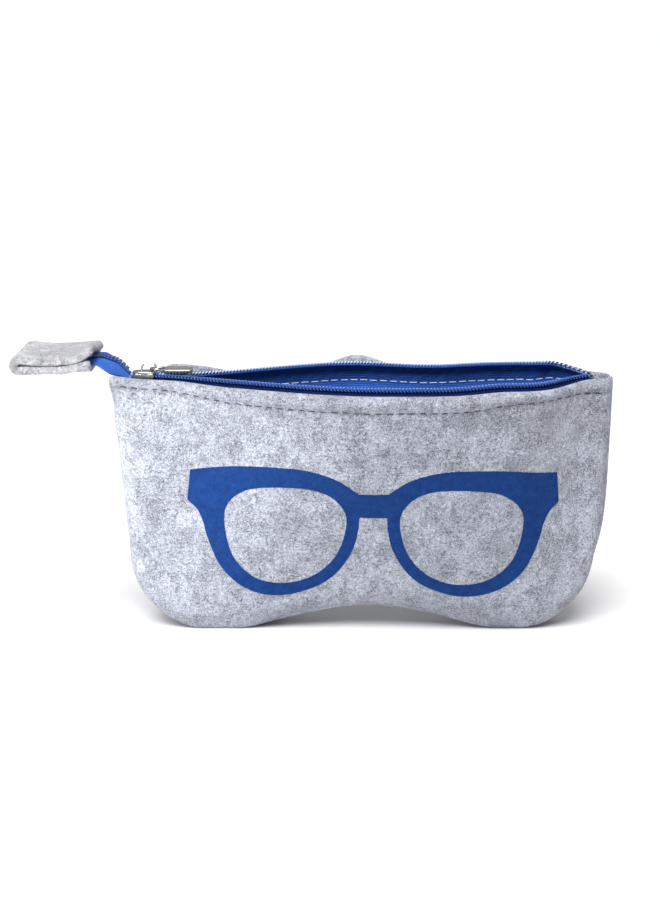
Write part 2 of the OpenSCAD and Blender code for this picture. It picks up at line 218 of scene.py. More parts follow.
def pinch(x, z):
    """0 at the side seams, where the two panels meet, and 1 away from them."""
    left = mix(round_in((x - left_edge(z)) / 7), 1, smooth((z - ZIP_Z + 14) / 9))
    return left * round_in((right_edge(z) - x) / 7)


def height_share(lip, x, z):
    low = bottom_z(x)
    return clamp((z - low) / (hem_z(lip, x) - low))


def closing(lip, x, z):
    """Share of the lip's closing that the felt makes at x and z."""
    return pinch(x, z) * open_at(lip, x) * (1 - (1 - height_share(lip, x, z)) ** 1.3)


def out_y(lip, x, z, edge=EDGE_Y):
    """Distance of the felt's outer face from the middle plane."""
    up = height_share(lip, x, z)
    base = mix(edge, FOOT_HALF, foot(x))
    body = mix(BODY_HALF, knee_y(lip, x) + TAPE_T / 2 + GAP + 2 * HEM_R, up)
    closed = mix(base, body, round_in((z - bottom_z(x)) / 10))
    return edge + pinch(x, z) * (closed - edge) + GAPE * closing(lip, x, z)


def stitch_depth(lip, x):
    """How far the row of stitches lies below the hem's edge."""
    depth = 3.4 + (2.8 if lip.side < 0 else 1.5) * smooth((x + 85) / 50)
    return depth - (2.1 * smooth((x - 38) / 28) - 1.6 * smooth((x - 74) / 22) if lip.side < 0 else 0 * x)


def relief(lip, x, z):
    """How far the real felt stands out from the CAD's plain face: puffed hem, sunk stitches, soft waves."""
    under = hem_z(lip, x) - z
    line = under - stitch_depth(lip, x)
    along = 2 * np.pi * (x + MOUTH_W / 2 - 6 - STITCH_L / 2) / STITCH_PITCH
    puff = 0.95 * np.sin(np.pi * clamp((under - 0.6) / (stitch_depth(lip, x) - 0.6)))
    groove = -0.85 * bell(line, 0, 0.85) * (0.78 + 0.22 * np.cos(along))
    pucker = 0.16 * np.sin(along * 0.5 + 0.9) * bell(line, 2.2, 2.6)
    fold = 0.45 * (1 - smooth((under - 8.0) / 2.6))
    low = z - bottom_z(x)
    calm = smooth(under / 14) * smooth(low / 16)
    s = lip.side
    waves = (
        0.50 * np.sin(x / 19 + 1.1 * s) * np.sin(z / 21 + 0.5)
        + 0.30 * np.sin(x / 10.5 - z / 15 + 2.0 + s)
        + 0.14 * np.sin(x / 5.6 + z / 8.1 + 0.7 * s)
        + 0.10 * np.sin(x / 3.9 - z / 5.2 + 1.9)
    )
    return (puff + groove + pucker + fold + waves * calm) * pinch(x, z) * smooth(low / 5)


def felt_y(lip, x, z):
    return out_y(lip, x, z, 0.32) + relief(lip, x, z)


def inner_y(lip, x, z, t):
    """Distance of the felt's inner face, solid where the seam allowances are turned in."""
    from_right = right_edge(z) - x
    from_left = np.where(z < ZIP_Z - 14, x - left_edge(z), 99.0)
    clear = smooth((np.minimum(from_right, from_left) - ALLOWANCE + 1) / 2)
    return np.maximum(SEAM_Y, mix(SEAM_Y, out_y(lip, x, z) - t, clear))


def back_crest(lip, x):
    """The back hem stands up behind its coil at the slider and in the middle."""
    if lip.side < 0:
        return 0 * x
    return 3.3 * smooth((x + 82) / 9) * (1 - smooth((x + 62) / 20)) + 5.0 * bell(x, -0.5, 12.5)


# ---- meshes ----
def skin(sections, flip=False):
    """A closed skin through equal closed sections [station][point]. flip turns its faces the other way."""
    n, m = sections.shape[:2]
    i, j = np.meshgrid(np.arange(n - 1), np.arange(m), indexing="ij")
    a, b = i * m + j, i * m + (j + 1) % m
    quads = np.stack([a, b, b + m, a + m], -1).reshape(-1, 4)
    ends = np.array([np.arange(m)[::-1], (n - 1) * m + np.arange(m)])
    return sections.reshape(-1, 3), [f[:, ::-1] if flip else f for f in (quads, ends)]


def build(name, points, faces, material, weights=None, weave=None):
    """Makes a piece from points in millimetres in the pouch's coordinates. faces is a list of arrays.

    weights is not used, and weave is where a point lies on a tape, coil or thread, for the materials.
    """
    points = np.asarray(points, float).reshape(-1, 3)
    mesh = bpy.data.meshes.new(name)
    mesh.vertices.add(len(points))
    mesh.vertices.foreach_set("co", ((points + [POUCH_X, 0, 0]) / 1000).astype(np.float32).ravel())
    corners = np.concatenate([f.ravel() for f in faces])
    totals = np.concatenate([np.full(len(f), f.shape[1]) for f in faces])
    mesh.loops.add(len(corners))
    mesh.loops.foreach_set("vertex_index", corners.astype(np.int32))
    mesh.polygons.add(len(totals))
    starts = np.concatenate([[0], np.cumsum(totals)[:-1]])
    mesh.polygons.foreach_set("loop_start", starts.astype(np.int32))
    mesh.polygons.foreach_set("loop_total", totals.astype(np.int32))
    mesh.polygons.foreach_set("use_smooth", np.full(len(totals), True))
    mesh.update(calc_edges=True)
    mesh.validate()
    for key, values in (("rest", points), ("weave", weave)):
        if values is not None:
            stored = mesh.attributes.new(key, "FLOAT_VECTOR", "POINT")
            stored.data.foreach_set("vector", np.asarray(values, np.float32).ravel())
    mesh.materials.append(material)
    piece = bpy.data.objects.new(name, mesh)
    bpy.context.scene.collection.objects.link(piece)
    return piece


def blend_by(piece):
    """Bakes the piece's placement into its mesh."""
    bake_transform(piece)
    return piece


def frames_along(path):
    """Two unit vectors square to a path at each of its points, turning as little as they can."""
    along = np.gradient(path, axis=0)
    along /= np.linalg.norm(along, axis=1, keepdims=True) + 1e-12
    side = np.zeros_like(path)
    up = np.array([0.0, 0, 1]) if abs(along[0][2]) < 0.9 else np.array([1.0, 0, 0])
    for i, t in enumerate(along):
        up = up - t * (up @ t)
        up /= np.linalg.norm(up) + 1e-12
        side[i] = up
    return side, np.cross(along, side)


def tube(path, radius, sides=8, squash=1.0):
    """Points and faces of a round tube along a path, with closed ends."""
    path = np.asarray(path, float)
    u, v = frames_along(path)
    r = np.broadcast_to(np.asarray(radius, float), (len(path),))[:, None, None]
    a = circle(sides)[None, :, None]
    rings = path[:, None, :] + r * (np.cos(a) * u[:, None, :] + squash * np.sin(a) * v[:, None, :])
    return skin(rings)


def round_thread(along, sides):
    """A thread's weave coordinates: along it, and round it."""
    turn = np.tile(np.arange(sides) / sides * THREAD_TURN, len(along))
    return np.stack([np.repeat(along, sides), turn, 0 * turn], -1)


def join(parts):
    """One list of points and faces from several."""
    points, faces, at = [], {}, 0
    for p, fs in parts:
        points.append(p)
        for f in fs:
            faces.setdefault(f.shape[1], []).append(f + at)
        at += len(p)
    return np.vstack(points), [np.vstack(f) for f in faces.values()]


# ---- material helpers ----
class Shader:
    """Adds nodes to a tree. An input's value is a number, a colour, a vector or another node's output."""

    def __init__(self, owner, last):
        owner.use_nodes = True
        self.owner, self.tree = owner, owner.node_tree
        self.last = self.tree.nodes[last]

    def fill(self, node, inputs):
        for key, value in inputs.items():
            if isinstance(value, bpy.types.NodeSocket):
                self.tree.links.new(value, node.inputs[key])
            else:
                node.inputs[key].default_value = value

    def add(self, kind, inputs=(), **settings):
        node = self.tree.nodes.new("ShaderNode" + kind)
        for key, value in settings.items():
            setattr(node, key, value)
        self.fill(node, dict(inputs))
        return node.outputs

    def attribute(self, name):
        return self.add("Attribute", attribute_name=name)["Vector"]

    def mapped(self, vector, scale, turn=(0, 0, 0), shift=(0, 0, 0)):
        # A texture mapping turns before it scales, so the pattern can be stretched along any direction
        inputs = {"Vector": vector, "Scale": [1 / k for k in scale], "Rotation": turn, "Location": shift}
        return self.add("Mapping", inputs, vector_type="TEXTURE")["Vector"]

    def noise(self, vector, scale, detail=2.0, rough=0.5, distortion=0.0):
        inputs = {"Vector": vector, "Scale": scale, "Detail": detail, "Roughness": rough}
        return self.add("TexNoise", {**inputs, "Distortion": distortion})["Fac"]

    def math(self, what, a, b=0.0, clamped=False):
        return self.add("Math", {0: a, 1: b}, operation=what, use_clamp=clamped)[0]

    def times(self, a, b):
        return self.math("MULTIPLY", a, b)

    def ramp(self, value, low, high, to_low=0.0, to_high=1.0):
        inputs = {"Value": value, "From Min": low, "From Max": high, "To Min": to_low, "To Max": to_high}
        return self.add("MapRange", inputs, interpolation_type="SMOOTHSTEP")["Result"]

    def blend(self, factor, a, b):
        return self.add("Mix", {"Factor": factor, "A": a, "B": b}, data_type="RGBA")["Result"]

    def bump(self, height, distance):
        """distance is in millimetres."""
        inputs = {"Height": height, "Distance": distance / 1000, "Strength": 1.0}
        self.fill(self.last, {"Normal": self.add("Bump", inputs)["Normal"]})

    def surface(self, **inputs):
        """Fills in the surface shader's own sockets and gives the material back."""
        self.fill(self.last, {key.replace("_", " "): value for key, value in inputs.items()})
        return self.owner


def shader(name):
    return Shader(bpy.data.materials.new(name), "Principled BSDF")


def rgb(r, g, b):
    return (r, g, b, 1.0)


def fibres(s, rest, scale, seed):
    """Short crossing streaks, as needled fibres lie: 0 between fibres and 1 on one."""
    value = None
    for k, turn in enumerate((0.35, 1.2, 2.05, 2.85)):
        # Fibres lie in the felt's plane, so each layer is stretched along a line turned about Y
        v = s.mapped(rest, (0.34 * scale, 0.9 * scale, 2.6 * scale), (0, turn, 0), (seed + 7.3 * k, 3.1, 0))
        n = s.noise(v, 1.0, 1.5, 0.5, 0.6)
        value = n if value is None else s.math("MAXIMUM", value, n)
    return value


def felt_material(name, base, dark, light, contrast=1.0):
    """Needled felt: a pale ground with crossing light and dark fibres, thicker in some clouds."""
    s = shader(name)
    rest = s.attribute("rest")
    cloud = s.noise(rest, 0.060, 3, 0.55)
    cluster = s.noise(s.mapped(rest, (1.0, 1.0, 0.8), shift=(31, 0, 5)), 0.17, 4, 0.62, 0.5)
    mottle = s.noise(rest, 0.80, 5, 0.70, 0.6)
    grain = s.noise(rest, 3.2, 3, 0.75)
    thick = s.ramp(cluster, 0.40, 0.62, 0.30, 1.0)
    dark_fibre = s.times(s.ramp(fibres(s, rest, 1.75, 11.0), 0.635, 0.71), thick)
    fine_dark = s.times(s.ramp(fibres(s, rest, 2.9, 83.0), 0.64, 0.71), thick)
    light_fibre = s.ramp(fibres(s, rest, 2.0, 47.0), 0.63, 0.73)
    speck = s.noise(rest, 1.9, 2, 0.55)
    deep = rgb(dark[0] * 0.2, dark[1] * 0.2, dark[2] * 0.22)
    colour = base
    for value, low, high, amount, shade in (
        (cloud, 0.36, 0.66, 0.30, dark),
        (mottle, 0.44, 0.66, 0.62, dark),
        (cluster, 0.42, 0.66, 0.24, dark),
        (speck, 0.50, 0.36, 0.45, light),
        (speck, 0.52, 0.68, 0.50, dark),
    ):
        colour = s.blend(s.ramp(value, low, high, 0.0, amount * contrast), colour, shade)
    colour = s.blend(s.times(light_fibre, 0.85), colour, light)
    colour = s.blend(s.times(dark_fibre, 0.88 * contrast), colour, dark)
    colour = s.blend(s.times(fine_dark, 0.80 * contrast), colour, deep)
    colour = s.blend(s.ramp(grain, 0.42, 0.62, 0.0, 0.55 * contrast), colour, dark)
    height = s.math("ADD", s.times(light_fibre, 0.6), grain)
    height = s.math("ADD", height, s.times(mottle, -0.7))
    s.bump(s.math("SUBTRACT", height, s.times(dark_fibre, 0.5)), 0.42)
    return s.surface(
        Base_Color=colour, Roughness=0.96, Specular_IOR_Level=0.12, Sheen_Weight=0.12, Sheen_Roughness=0.5
    )


def print_material():
    s = shader("printed_blue")
    rest = s.attribute("rest")
    grain = s.noise(rest, 2.6, 3, 0.7)
    cloud = s.noise(rest, 0.35, 3, 0.6)
    fibre = s.ramp(fibres(s, rest, 1.15, 47.0), 0.62, 0.76)
    colour = s.blend(s.ramp(cloud, 0.3, 0.7), rgb(0.0028, 0.028, 0.135), rgb(0.0050, 0.041, 0.185))
    colour = s.blend(s.times(fibre, 0.14), colour, rgb(0.07, 0.17, 0.45))
    colour = s.blend(s.ramp(grain, 0.42, 0.7, 0.0, 0.35), colour, rgb(0.007, 0.040, 0.20))
    s.bump(s.math("ADD", s.times(fibre, 0.6), grain), 0.22)
    return s.surface(Base_Color=colour, Roughness=0.85, Specular_IOR_Level=0.15)


def weave_material(name, base, dark, light, painted_shade_amount, deep=rgb(0.006, 0.024, 0.135)):
    """Woven polyester tape: fine ribs across and along it, from the tape's own coordinates in millimetres, with
    painted shade in the colour deep under the coil and inside the hem.
    """
    s = shader(name)
    w = s.attribute("weave")
    along, across, _ = s.add("SeparateXYZ", {0: w})
    wobble = s.times(s.noise(w, 0.8, 2), 0.5)
    rib = s.math("SINE", s.times(s.math("ADD", across, wobble), 2 * math.pi / 0.80))
    slant = s.math("ADD", along, s.times(across, 0.55))
    pick = s.math("SINE", s.times(slant, 2 * math.pi / 0.70))
    value = s.math("ADD", s.times(rib, 0.45), s.times(s.times(rib, pick), 0.55))
    patch = s.noise(w, 0.22, 3, 0.55)
    colour = s.blend(s.ramp(value, -0.8, 0.8), dark, light)
    colour = s.blend(0.25, colour, base)
    colour = s.blend(s.ramp(patch, 0.3, 0.7, 0.0, 0.35), colour, dark)
    # Painted shade: the tape is darkened from under the coil down into the hem, to the row of stitches, where it lies
    # in shade
    inside = s.times(s.ramp(across, 0.2, 0.7), s.ramp(across, 8.9, 8.3))
    # Painted sheen: diagonal streaks lift the painted shade and show the tape lighter there
    streak = s.noise(s.mapped(w, (0.55, 0.16, 1.0), (0, 0, 0.9)), 1.0, 3, 0.6)
    wear_and_sheen = s.times(s.ramp(streak, 0.44, 0.66), 0.30)
    painted_shade = s.math("SUBTRACT", s.times(inside, painted_shade_amount), wear_and_sheen, clamped=True)
    colour = s.blend(painted_shade, colour, deep)
    s.bump(value, 0.14)
    return s.surface(Base_Color=colour, Roughness=0.8, Specular_IOR_Level=0.08)


def nylon_material():
    """Dyed nylon filament with painted highlights: the loops' heads are painted pale where the light catches them,
    and the loops' inner ends are a lighter blue.
    """
    s = shader("nylon_blue")
    rest = s.attribute("rest")
    across = s.add("SeparateXYZ", {0: s.attribute("weave")})[1]
    patch = s.noise(rest, 0.6, 2)
    colour = s.blend(s.ramp(patch, 0.3, 0.7), rgb(0.009, 0.046, 0.26), rgb(0.016, 0.072, 0.36))
    colour = s.blend(s.times(s.ramp(across, 1.75, 2.0), 0.55), colour, rgb(0.16, 0.34, 0.90))
    # Painted highlight on the loops' heads
    colour = s.blend(s.ramp(across, 0.95, 0.60), colour, rgb(0.55, 0.72, 1.0))
    s.bump(s.noise(rest, 6.0, 2), 0.02)
    return s.surface(Base_Color=colour, Roughness=0.30, Specular_IOR_Level=0.6, Coat_Weight=0.15)


def thread_material(name, base, dark):
    s = shader(name)
    along, around, _ = s.add("SeparateXYZ", {0: s.attribute("weave")})
    twist = s.math("SINE", s.times(s.math("ADD", along, around), 2 * math.pi / THREAD_TURN))
    colour = s.blend(s.ramp(twist, -0.7, 0.9), dark, base)
    s.bump(twist, 0.06)
    return s.surface(Base_Color=colour, Roughness=0.6, Specular_IOR_Level=0.4, Sheen_Weight=0.1)


def metal_material(name, base, rough, wear_and_sheen):
    s = shader(name)
    rest = s.attribute("rest")
    smear = s.noise(rest, 0.7, 4, 0.6)
    scratch = s.noise(s.mapped(rest, (0.5, 7.0, 7.0), (0, 0, 0.35)), 1.0, 2, 0.5)
    colour = s.blend(s.ramp(smear, 0.35, 0.7, 0.0, 0.4), base, wear_and_sheen)
    roughness = s.ramp(s.math("ADD", smear, s.times(scratch, 0.5)), 0.5, 1.0, rough * 0.7, rough * 1.6)
    s.bump(scratch, 0.012)
    return s.surface(Base_Color=colour, Metallic=1.0, Roughness=roughness)


felt = felt_material("felt_grey", rgb(0.69, 0.725, 0.845), rgb(0.082, 0.088, 0.120), rgb(0.90, 0.93, 1.0))
tab_felt = felt_material("felt_tab", rgb(0.88, 0.885, 0.92), rgb(0.15, 0.15, 0.17), rgb(0.97, 0.97, 0.99), 0.9)
printed = print_material()
# The first colour here is the near black navy of the tapes' painted shade
SHADE_NAVY, NAVY = rgb(0.0035, 0.010, 0.065), rgb(0.009, 0.040, 0.24)
BLUE, SKY = rgb(0.022, 0.095, 0.43), rgb(0.06, 0.19, 0.66)
# One tape in two copies: the front one carries more painted shade under its coil and in the hem than the back one
tape_front = weave_material("tape_front", BLUE, NAVY, SKY, 1.25, SHADE_NAVY)
tape_back = weave_material("tape_back", BLUE, NAVY, SKY, 0.55)
# The tail's tape is a lighter copy of the lip tapes' colours, painted light where the tail lies out in the open, with
# no painted shade
tail_blue = weave_material(
    "tape_tail", rgb(0.030, 0.115, 0.50), rgb(0.012, 0.055, 0.30), rgb(0.12, 0.30, 0.86), 0.0
)
nylon = nylon_material()
blue_thread = thread_material("zip_thread_blue", rgb(0.040, 0.150, 0.60), rgb(0.010, 0.042, 0.25))
core_thread = thread_material("zip_core_navy", rgb(0.008, 0.030, 0.17), rgb(0.003, 0.012, 0.08))
grey_thread = thread_material("thread_grey", rgb(0.090, 0.092, 0.108), rgb(0.030, 0.031, 0.040))
white_thread = thread_material("thread_white", rgb(0.84, 0.91, 1.0), rgb(0.55, 0.63, 0.86))
chrome = metal_material("plated_metal", rgb(0.60, 0.595, 0.58), 0.13, rgb(0.42, 0.41, 0.39))
puller_metal = metal_material("plated_puller", rgb(0.56, 0.535, 0.47), 0.15, rgb(0.36, 0.34, 0.29))


# ---- the felt panels ----
def panel(lip):
    even = np.linspace(0, 1, 400)
    u = mix(even, 0.5 - 0.5 * np.cos(np.pi * even), 0.6)[:, None]
    x_low, x_high = mix(left_edge(0.0), right_edge(0.0), u), mix(-MOUTH_W / 2, MOUTH_W / 2, u)
    low = bottom_z(x_low)
    top = hem_z(lip, x_high) + back_crest(lip, x_high) - corner((-93.6 - x_high) / 3.9, 3.2)
    r_top = top - HEM_R

    def at_height(z):
        return mix(left_edge(z), right_edge(z), u)

    # Each run is x, y and z: up the outer face, over the hem's fold, down inside it and down to the seam
    def run(z, distance):
        x = at_height(z)
        return x, distance(x, z), z

    outer = run(mix(low, r_top, np.linspace(0, 1, 170)[None, :] ** 1.35), lambda x, z: felt_y(lip, x, z))
    y_top = felt_y(lip, at_height(r_top), r_top)
    r = np.minimum(HEM_R, (y_top - SEAM_Y) / 2)
    a = np.radians(np.arange(12, 169, 12))[None, :]
    arc = run(r_top + r * np.sin(a), lambda x, z: y_top - r + r * np.cos(a))
    fold, floor_z, seam = top - HEM_DEPTH, low + ALLOWANCE, np.full_like(low, SEAM_Y)
    hem_in = run(mix(r_top, fold, np.linspace(0, 1, 16)[None, :]), lambda x, z: inner_y(lip, x, z, 2 * HEM_R))
    inner = run(mix(fold - 0.5, floor_z, np.linspace(0, 1, 60)[None, :]), lambda x, z: inner_y(lip, x, z, FELT_T))
    runs = (x_low, seam, low), outer, arc, hem_in, inner, (at_height(floor_z), seam, floor_z)
    x, y, z = [np.hstack(values) for values in zip(*runs)]
    points, faces = skin(np.stack([x, lip.side * y, z], -1), flip=lip.side < 0)
    name = "felt_front" if lip.side < 0 else "felt_back"
    return build(name, points, faces, felt, closing(lip, x, z))


felt_front, felt_back = panel(FRONT), panel(BACK)
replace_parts(blend_by(felt_front), "front_panel")
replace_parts(blend_by(felt_back), "back_panel")


def fibre_ends(name, root, out, depth, length, rise, width, reach, curl, material, weights=None):
    """Loose fibre ends, each a thin bent blade, that leave the felt at root and stand out along out."""
    count = len(root)
    lie = rng.normal(size=(count, 3))
    lie -= out * (lie * out).sum(1, keepdims=True)
    lie = unit(lie)
    length, rise, width = [rng.uniform(*limits, (count, 1)) for limits in (length, rise, width)]
    across = np.cross(out, lie)
    half = across * width
    base, mid = root - depth * out, root + length * (0.5 * lie + 0.45 * rise * out)
    bend = curl * rng.uniform(-1, 1, (count, 1)) * across if curl else 0
    tip = root + length * (reach * lie + bend + rise * out)
    points = np.stack([base - half, base + half, mid + half * 0.8, mid - half * 0.8, tip], 1)
    first = np.arange(count)[:, None] * 5
    faces = [first + np.array([[0, 1, 2, 3]]), first + np.array([[3, 2, 4]])]
    return build(name, points, faces, material, weights)


def fuzz(name, lip, count):
    x = rng.uniform(-MOUTH_W / 2, MOUTH_W / 2, count)
    z = mix(bottom_z(x), hem_z(lip, x) - 0.6, rng.uniform(0, 1, count) ** 0.9)
    # An eighth of them stand near each side edge, where the outline shows them
    edge, share = rng.uniform(0, 1, count), 0.12
    x = np.where(edge < share, left_edge(z) + 3 * edge / share * edge / share, x)
    x = np.where(edge > 1 - share, right_edge(z) - 3 * ((edge - (1 - share)) / share) ** 2, x)
    z = np.maximum(z, bottom_z(x) + 0.05)
    x = np.clip(x, left_edge(z) + 0.02, right_edge(z) - 0.02)

    def face(dx, dz):
        return np.stack([x + dx, lip.side * felt_y(lip, x + dx, z + dz), z + dz], -1)

    root = face(0, 0)
    normal = unit(np.cross(face(0, 0.25) - root, face(0.25, 0) - root) * -lip.side)
    return fibre_ends(name, root, normal, 0.12, (0.35, 1.15), (0.25, 0.9), (0.018, 0.032), 0.9, 0.35,
                      felt, np.repeat(closing(lip, x, z), 5))


blend_by(fuzz("felt_fuzz_front", FRONT, 26000))
blend_by(fuzz("felt_fuzz_back", BACK, 16000))


# ---- the printed spectacles ----
def curve_through(points):
    """Smooth closed curve through points. A point given twice is a sharp corner."""
    p = np.array(points, float)
    t = np.linspace(0, 1, 8, endpoint=False)[:, None]
    made = []
    for i in range(len(p)):
        p0, p1, p2, p3 = p[i - 1], p[i], p[(i + 1) % len(p)], p[(i + 2) % len(p)]
        if not np.allclose(p1, p2):
            m1 = p2 - p1 if np.allclose(p0, p1) else (p2 - p0) / 2
            m2 = p2 - p1 if np.allclose(p2, p3) else (p3 - p1) / 2
            h = 2 * t**3 - 3 * t**2 + 1, t**3 - 2 * t**2 + t, -2 * t**3 + 3 * t**2, t**3 - t**2
            made.append(h[0] * p1 + h[1] * m1 + h[2] * p2 + h[3] * m2)
    return np.vstack(made)


def distance_to(outline, x, z):
    """Signed distance to a closed outline, negative inside."""
    best, inside = np.full(x.shape, 1e9), np.zeros(x.shape, bool)
    for a, b in zip(outline, np.roll(outline, -1, 0)):
        e = b - a
        px, pz = x - a[0], z - a[1]
        t = clamp((px * e[0] + pz * e[1]) / (e @ e + 1e-12))
        best = np.minimum(best, np.hypot(px - t * e[0], pz - t * e[1]))
        if a[1] != b[1]:
            crosses = (z >= min(a[1], b[1])) & (z < max(a[1], b[1]))
            inside ^= crosses & (px < pz * e[0] / e[1])
    return np.where(inside, -best, best)


def spectacles(x, z):
    """Signed distance to the print's outline, in millimetres from the bridge and the lens centres' height."""
    x = np.abs(x)
    c = LENS_X
    hole = curve_through([
        (c + 23.5, 1.5), (c + 22, 9.5), (c + 15.2, 15.2), (c + 5, 17.4), (c - 8, 17.6), (c - 17, 15), (c - 22.7, 8.5),
        (c - 23, 0), (c - 19.2, -11), (c - 11.2, -19.4), (c, -23), (c + 12, -20.7), (c + 20.4, -11.8)])
    outer = curve_through([
        (-3, 16), (-3, 16), (5.5, 16.2), (5.5, 16.2), (12.4, 21.1), (19.7, 23.9), (26.7, 25.3), (c, 25.6),
        (48, 25.2), (58, 24.3), (69.9, 22.6), (69.9, 22.6), (71.3, 10.4), (71.3, 10.4), (67.6, 6.8), (65.4, 2),
        (64, -4), (60, -14.5), (54.8, -21.3), (48.5, -25.9), (41, -28.2), (c, -28.3), (26.4, -26.6), (19.8, -23.6),
        (14.4, -19.1), (10.3, -13.4), (7.3, -7), (5.7, 0), (5.2, 6.2), (5.2, 6.2), (-3, 6.2), (-3, 6.2)])
    return np.maximum(distance_to(outer, x, z), -distance_to(hole, x, z))


def print_mesh():
    """The print's area cut out of a fine grid, with its rim where the outline crosses the grid's edges."""
    step = 0.4
    xs, zs = np.arange(-73, 73.01, step), np.arange(-29.6, 27.01, step)
    x, z = np.meshgrid(xs, zs, indexing="ij")
    rag = 0.06 * np.sin(x * 5.1 + 2 * np.sin(z * 3.7)) + 0.05 * np.sin(z * 6.3 + 3 * np.sin(x * 2.9))
    d = spectacles(x, z) + rag
    points, faces, known = [], {3: [], 4: [], 5: []}, {}

    def point_at(key, p, q, t):
        if key not in known:
            known[key] = len(points)
            points.append((mix(xs[p[0]], xs[q[0]], t), mix(zs[p[1]], zs[q[1]], t)))
        return known[key]

    inside = d < 0
    some = inside[:-1, :-1] | inside[1:, :-1] | inside[1:, 1:] | inside[:-1, 1:]
    for i, j in zip(*np.nonzero(some)):
        ring = [(i, j), (i + 1, j), (i + 1, j + 1), (i, j + 1)]
        face = []
        for p, q in zip(ring, ring[1:] + ring[:1]):
            if inside[p]:
                face.append(point_at(p, p, p, 0))
            if inside[p] != inside[q]:
                face.append(point_at((min(p, q), max(p, q)), p, q, d[p] / (d[p] - d[q])))
        if len(face) in faces:
            faces[len(face)].append(face)
    # The photo has the print a little to the right of the CAD's, and a little lower at its top
    p = np.array(points)
    px, pz = p[:, 0] + PRINT_X + 1.2, 0.99 * p[:, 1] + LENS_Z + 0.2
    placed = np.stack([px, -(felt_y(FRONT, px, pz) + 0.10), pz], -1)
    arrays = [np.array(f) for f in faces.values() if f]
    return build("print_spectacles", placed, arrays, printed, closing(FRONT, px, pz))


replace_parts(blend_by(print_mesh()), "front_print")


# ---- topstitching ----
def stitches(name, lip, inside, material, length, radius):
    parts, weights, twist = [], [], []
    t = np.linspace(0, 1, 9)
    for x0 in np.arange(-MOUTH_W / 2 + 6, MOUTH_W / 2 - 5.5, STITCH_PITCH):
        if inside and not ZIP_FROM + 1 < x0 < ZIP_TO - 5:
            continue
        x = x0 + length * t + rng.normal(0, 0.06)
        z = hem_z(lip, x) - stitch_depth(lip, x) + rng.normal(0, 0.07)
        dip = 0.55 * (2 * t - 1) ** 4
        if inside:
            y = out_y(lip, x, z) - 2 * HEM_R - GAP - TAPE_T - radius * 0.7 + dip
        else:
            y = felt_y(lip, x, z) + radius * 0.5 - dip
        parts.append(tube(np.stack([x, lip.side * y, z], -1), radius * (1 - 0.25 * (2 * t - 1) ** 6), 8))
        weights.append(np.repeat(closing(lip, x, z), 8))
        twist.append(round_thread(x - x0, 8))
    points, faces = join(parts)
    return build(name, points, faces, material, np.concatenate(weights), np.vstack(twist))


for lip, body, node in ((FRONT, "front_lip", "front_topstitch"), (BACK, "back_lip", "back_topstitch")):
    outside = stitches(node + "_outside", lip, False, grey_thread, 2.9, 0.26)
    inside = stitches(node + "_inside", lip, True, white_thread, 3.4, 0.20)
    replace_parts(blend_by(outside), node)
    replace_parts(blend_by(inside), node)


# ---- zip tapes and coils along the lips ----
def on_band(lip, x, d, n):
    """A place on the stiff band that holds the coil: d down from its tip and n out from its middle."""
    a, w = lean(lip, x), open_at(lip, x)
    y = TIP_GAP + d * np.sin(a) + n * np.cos(a) + GAPE * w
    z = ZIP_Z - d * np.cos(a) + n * np.sin(a) - lip.sag * w + lift(lip, x)
    return y, z


def on_drop(lip, x, below):
    """A place on the tape where it hangs inside the hem, at a height below the band's knee."""
    z = knee_z(lip, x) - lip.sag * open_at(lip, x) - below
    return out_y(lip, x, z) - 2 * HEM_R - GAP - TAPE_T / 2, z


def tape(lip, name):
    x = np.linspace(ZIP_FROM, ZIP_TO, 380)
    # Each row is y, z and the distance across the tape: along the band, round its knee and down inside
    rows = [(*on_band(lip, x, d, -COIL_OFF), d) for d in np.linspace(0.45, WEB - 0.8, 9)]
    knee = on_band(lip, x, WEB - 0.8, -COIL_OFF), on_band(lip, x, WEB, -COIL_OFF), on_drop(lip, x, 1.0)
    a, b, c = np.array(knee)
    for t in (0.25, 0.5, 0.75):
        rows.append((*((1 - t) ** 2 * a + 2 * t * (1 - t) * b + t * t * c), WEB - 0.8 + 1.6 * t))
    for below in np.linspace(1.0, TAPE_DROP, 12):
        y, z = on_drop(lip, x, below)
        loose = smooth((below - 5.2) / 3) * (0.9 + 0.25 * np.sin(x / 3.1 + below))
        rows.append((y - loose, z, WEB + below))
    cy, cz, across = [np.array([row[k] + 0 * x for row in rows]).T for k in range(3)]
    ty, tz = np.gradient(cy, axis=1), np.gradient(cz, axis=1)
    size = np.hypot(ty, tz) + 1e-9
    ny, nz = -tz / size * TAPE_T / 2, ty / size * TAPE_T / 2
    y = np.hstack([cy + ny, (cy - ny)[:, ::-1]])
    z = np.hstack([cz + nz, (cz - nz)[:, ::-1]])
    v = np.hstack([across, across[:, ::-1]])
    xx = np.broadcast_to(x[:, None], y.shape)
    points, faces = skin(np.stack([xx, lip.side * y, z], -1), flip=lip.side > 0)
    band = np.broadcast_to(open_at(lip, x)[:, None], y.shape)
    weights = mix(band, closing(lip, xx, z), smooth((v - WEB + 1) / 2.5))
    material = tape_front if lip.side < 0 else tape_back
    return build(name, points, faces, material, weights, np.stack([xx, v, 0 * v], -1))


def loops_path(turns, phase=0.0):
    """A coil's filament: its place along the zip, down the band and out from it, and its thickness."""
    t = np.linspace(0, turns, int(turns * 14))
    a = 2 * np.pi * (t + phase)
    along = t * PITCH + 0.16 * np.sin(2 * a)
    down = COIL_W / 2 - (COIL_W / 2 - 0.22) * np.cos(a)
    out = (COIL_T / 2 - 0.27) * np.sin(a)
    thick = 0.23 + 0.11 * np.maximum(0, np.cos(a)) ** 6
    return along, down, out, thick


